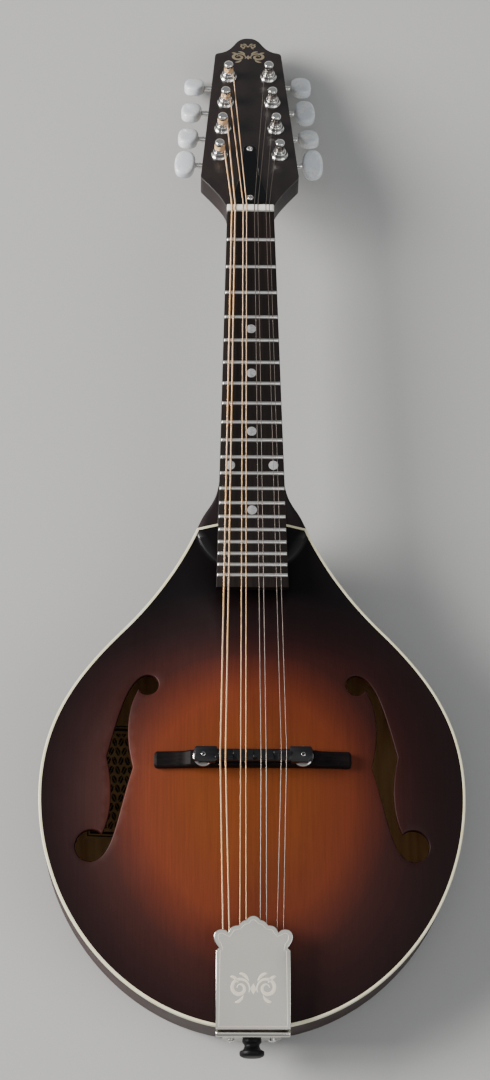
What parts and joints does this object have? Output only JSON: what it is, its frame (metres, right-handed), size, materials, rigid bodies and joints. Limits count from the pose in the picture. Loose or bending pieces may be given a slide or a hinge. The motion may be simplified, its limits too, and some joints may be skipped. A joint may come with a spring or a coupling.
{
  "type": "mandolin",
  "caption": "Carved-top string instrument with f-holes, teardrop body, adjustable bridge, metal tailpiece and geared tuning machines with pearl buttons.",
  "frame": {"origin": "bottom centre of the whole instrument's box, lying on its back", "axes": "+X towards the treble side, +Y along the neck towards the headstock, +Z out of the carved top"},
  "size_m": [0.248, 0.6628, 0.1147],
  "materials": {
    "sunburst_top": "satin",
    "sunburst_body": "satin",
    "cream_binding": "gloss",
    "neck_wood": "satin",
    "inner_wood": "matt",
    "label_paper": "matt",
    "dark_board": "satin",
    "fret_metal": "polished",
    "pearl_dots": "gloss",
    "nut_bone": "satin",
    "black_gloss": "gloss",
    "chrome": "polished",
    "rod_steel": "brushed",
    "brass_nut": "polished",
    "pearl_button": "gloss",
    "ebony": "satin",
    "bronze_string": "polished",
    "steel_string": "polished",
    "nickel": "satin"
  },
  "bodies": {
    "instrument": {"soundboard": "sunburst_top", "back_plate": "sunburst_body", "ribs": "sunburst_body", "top_binding": "cream_binding", "neck": "neck_wood", "head_block": "inner_wood", "tail_block": "inner_wood", "linings": "inner_wood", "tone_bars": "inner_wood", "paper_label": "label_paper", "fingerboard": "dark_board", "fingerboard_support": "dark_board", "frets": "fret_metal", "position_dots": "pearl_dots", "string_nut": "nut_bone", "headstock_overlay": "black_gloss", "truss_rod": "rod_steel", "truss_rod_cover": "black_gloss", "truss_cover_screws": "chrome", "post_bushings": "chrome", "bass_tuner_plate": "chrome", "treble_tuner_plate": "chrome", "tuner_plate_screws": "chrome", "wound_strings": "bronze_string", "plain_strings": "steel_string", "tailpiece_base": "nickel", "tailpiece_screws": "chrome", "strap_button": "ebony"},
    "bridge": {"bridge_base": "ebony", "bridge_studs": "chrome"},
    "saddle": {"bridge_saddle": "ebony"},
    "bass_wheel": {"bass_thumbwheel": "chrome"},
    "treble_wheel": {"treble_thumbwheel": "chrome"},
    "tail_cover": {"tailpiece_cover": "nickel"},
    "rod_nut": {"truss_rod_nut": "brass_nut"},
    "bass_worm_1": {"bass_worm_1": "chrome", "bass_button_1": "pearl_button"},
    "bass_post_1": {"bass_post_1": "chrome"},
    "bass_worm_2": {"bass_worm_2": "chrome", "bass_button_2": "pearl_button"},
    "bass_post_2": {"bass_post_2": "chrome"},
    "bass_worm_3": {"bass_worm_3": "chrome", "bass_button_3": "pearl_button"},
    "bass_post_3": {"bass_post_3": "chrome"},
    "bass_worm_4": {"bass_worm_4": "chrome", "bass_button_4": "pearl_button"},
    "bass_post_4": {"bass_post_4": "chrome"},
    "treble_worm_1": {"treble_worm_1": "chrome", "treble_button_1": "pearl_button"},
    "treble_post_1": {"treble_post_1": "chrome"},
    "treble_worm_2": {"treble_worm_2": "chrome", "treble_button_2": "pearl_button"},
    "treble_post_2": {"treble_post_2": "chrome"},
    "treble_worm_3": {"treble_worm_3": "chrome", "treble_button_3": "pearl_button"},
    "treble_post_3": {"treble_post_3": "chrome"},
    "treble_worm_4": {"treble_worm_4": "chrome", "treble_button_4": "pearl_button"},
    "treble_post_4": {"treble_post_4": "chrome"}
  },
  "joints": [
    {"name": "bridge_slide", "type": "slide", "parent": "instrument", "child": "bridge", "axis": [0, 1, 0], "range_m": [-0.003, 0.003], "deforming": ["wound_strings", "plain_strings"]},
    {"name": "saddle_lift", "type": "slide", "parent": "bridge", "child": "saddle", "axis": [0, 0, 1], "range_m": [0, 0.0015]},
    {"name": "bass_wheel_turn", "type": "hinge", "parent": "saddle", "child": "bass_wheel", "pos_m": [-0.0287, -0.16444, 0.10527], "axis": [0, 0, 1], "range_deg": [0, 1080]},
    {"name": "treble_wheel_turn", "type": "hinge", "parent": "saddle", "child": "treble_wheel", "pos_m": [0.0287, -0.16444, 0.10527], "axis": [0, 0, 1], "range_deg": [0, 1080]},
    {"name": "cover_slide", "type": "slide", "parent": "instrument", "child": "tail_cover", "axis": [0, 0.989, 0.1478], "range_m": [0, 0.045]},
    {"name": "rod_nut_turn", "type": "hinge", "parent": "instrument", "child": "rod_nut", "pos_m": [0, 0.20226, 0.0622], "axis": [0, 0.9954, -0.0958], "range_deg": [-180, 180]},
    {"name": "bass_worm_1_turn", "type": "hinge", "parent": "instrument", "child": "bass_worm_1", "pos_m": [-0.01808, 0.23404, 0.03424], "axis": [0.9963, -0.0808, 0.0302], "continuous": true},
    {"name": "bass_post_1_turn", "type": "hinge", "parent": "instrument", "child": "bass_post_1", "pos_m": [-0.0188, 0.23309, 0.05541], "axis": [0, 0.3502, 0.9367], "continuous": true},
    {"name": "bass_worm_2_turn", "type": "hinge", "parent": "instrument", "child": "bass_worm_2", "pos_m": [-0.01608, 0.25567, 0.02615], "axis": [0.9963, -0.0808, 0.0302], "continuous": true},
    {"name": "bass_post_2_turn", "type": "hinge", "parent": "instrument", "child": "bass_post_2", "pos_m": [-0.0168, 0.25473, 0.04732], "axis": [0, 0.3502, 0.9367], "continuous": true},
    {"name": "bass_worm_3_turn", "type": "hinge", "parent": "instrument", "child": "bass_worm_3", "pos_m": [-0.01408, 0.27731, 0.01806], "axis": [0.9963, -0.0808, 0.0302], "continuous": true},
    {"name": "bass_post_3_turn", "type": "hinge", "parent": "instrument", "child": "bass_post_3", "pos_m": [-0.0148, 0.27637, 0.03923], "axis": [0, 0.3502, 0.9367], "continuous": true},
    {"name": "bass_worm_4_turn", "type": "hinge", "parent": "instrument", "child": "bass_worm_4", "pos_m": [-0.01208, 0.29895, 0.00997], "axis": [0.9963, -0.0808, 0.0302], "continuous": true},
    {"name": "bass_post_4_turn", "type": "hinge", "parent": "instrument", "child": "bass_post_4", "pos_m": [-0.0128, 0.29801, 0.03114], "axis": [0, 0.3502, 0.9367], "continuous": true},
    {"name": "treble_worm_1_turn", "type": "hinge", "parent": "instrument", "child": "treble_worm_1", "pos_m": [0.01808, 0.23404, 0.03424], "axis": [0.9963, 0.0808, -0.0302], "continuous": true},
    {"name": "treble_post_1_turn", "type": "hinge", "parent": "instrument", "child": "treble_post_1", "pos_m": [0.0188, 0.23309, 0.05541], "axis": [0, 0.3502, 0.9367], "continuous": true},
    {"name": "treble_worm_2_turn", "type": "hinge", "parent": "instrument", "child": "treble_worm_2", "pos_m": [0.01608, 0.25567, 0.02615], "axis": [0.9963, 0.0808, -0.0302], "continuous": true},
    {"name": "treble_post_2_turn", "type": "hinge", "parent": "instrument", "child": "treble_post_2", "pos_m": [0.0168, 0.25473, 0.04732], "axis": [0, 0.3502, 0.9367], "continuous": true},
    {"name": "treble_worm_3_turn", "type": "hinge", "parent": "instrument", "child": "treble_worm_3", "pos_m": [0.01408, 0.27731, 0.01806], "axis": [0.9963, 0.0808, -0.0302], "continuous": true},
    {"name": "treble_post_3_turn", "type": "hinge", "parent": "instrument", "child": "treble_post_3", "pos_m": [0.0148, 0.27637, 0.03923], "axis": [0, 0.3502, 0.9367], "continuous": true},
    {"name": "treble_worm_4_turn", "type": "hinge", "parent": "instrument", "child": "treble_worm_4", "pos_m": [0.01208, 0.29895, 0.00997], "axis": [0.9963, 0.0808, -0.0302], "continuous": true},
    {"name": "treble_post_4_turn", "type": "hinge", "parent": "instrument", "child": "treble_post_4", "pos_m": [0.0128, 0.29801, 0.03114], "axis": [0, 0.3502, 0.9367], "continuous": true}
  ],
  "couplings": [
    {"joint": "bass_wheel_turn", "follows": "saddle_lift", "rad_per_m": 12566},
    {"joint": "treble_wheel_turn", "follows": "saddle_lift", "rad_per_m": 12566},
    {"joint": "bass_post_1_turn", "follows": "bass_worm_1_turn", "ratio": 0.055556},
    {"joint": "bass_post_2_turn", "follows": "bass_worm_2_turn", "ratio": 0.055556},
    {"joint": "bass_post_3_turn", "follows": "bass_worm_3_turn", "ratio": 0.055556},
    {"joint": "bass_post_4_turn", "follows": "bass_worm_4_turn", "ratio": 0.055556},
    {"joint": "treble_post_1_turn", "follows": "treble_worm_1_turn", "ratio": 0.055556},
    {"joint": "treble_post_2_turn", "follows": "treble_worm_2_turn", "ratio": 0.055556},
    {"joint": "treble_post_3_turn", "follows": "treble_worm_3_turn", "ratio": 0.055556},
    {"joint": "treble_post_4_turn", "follows": "treble_worm_4_turn", "ratio": 0.055556}
  ]
}
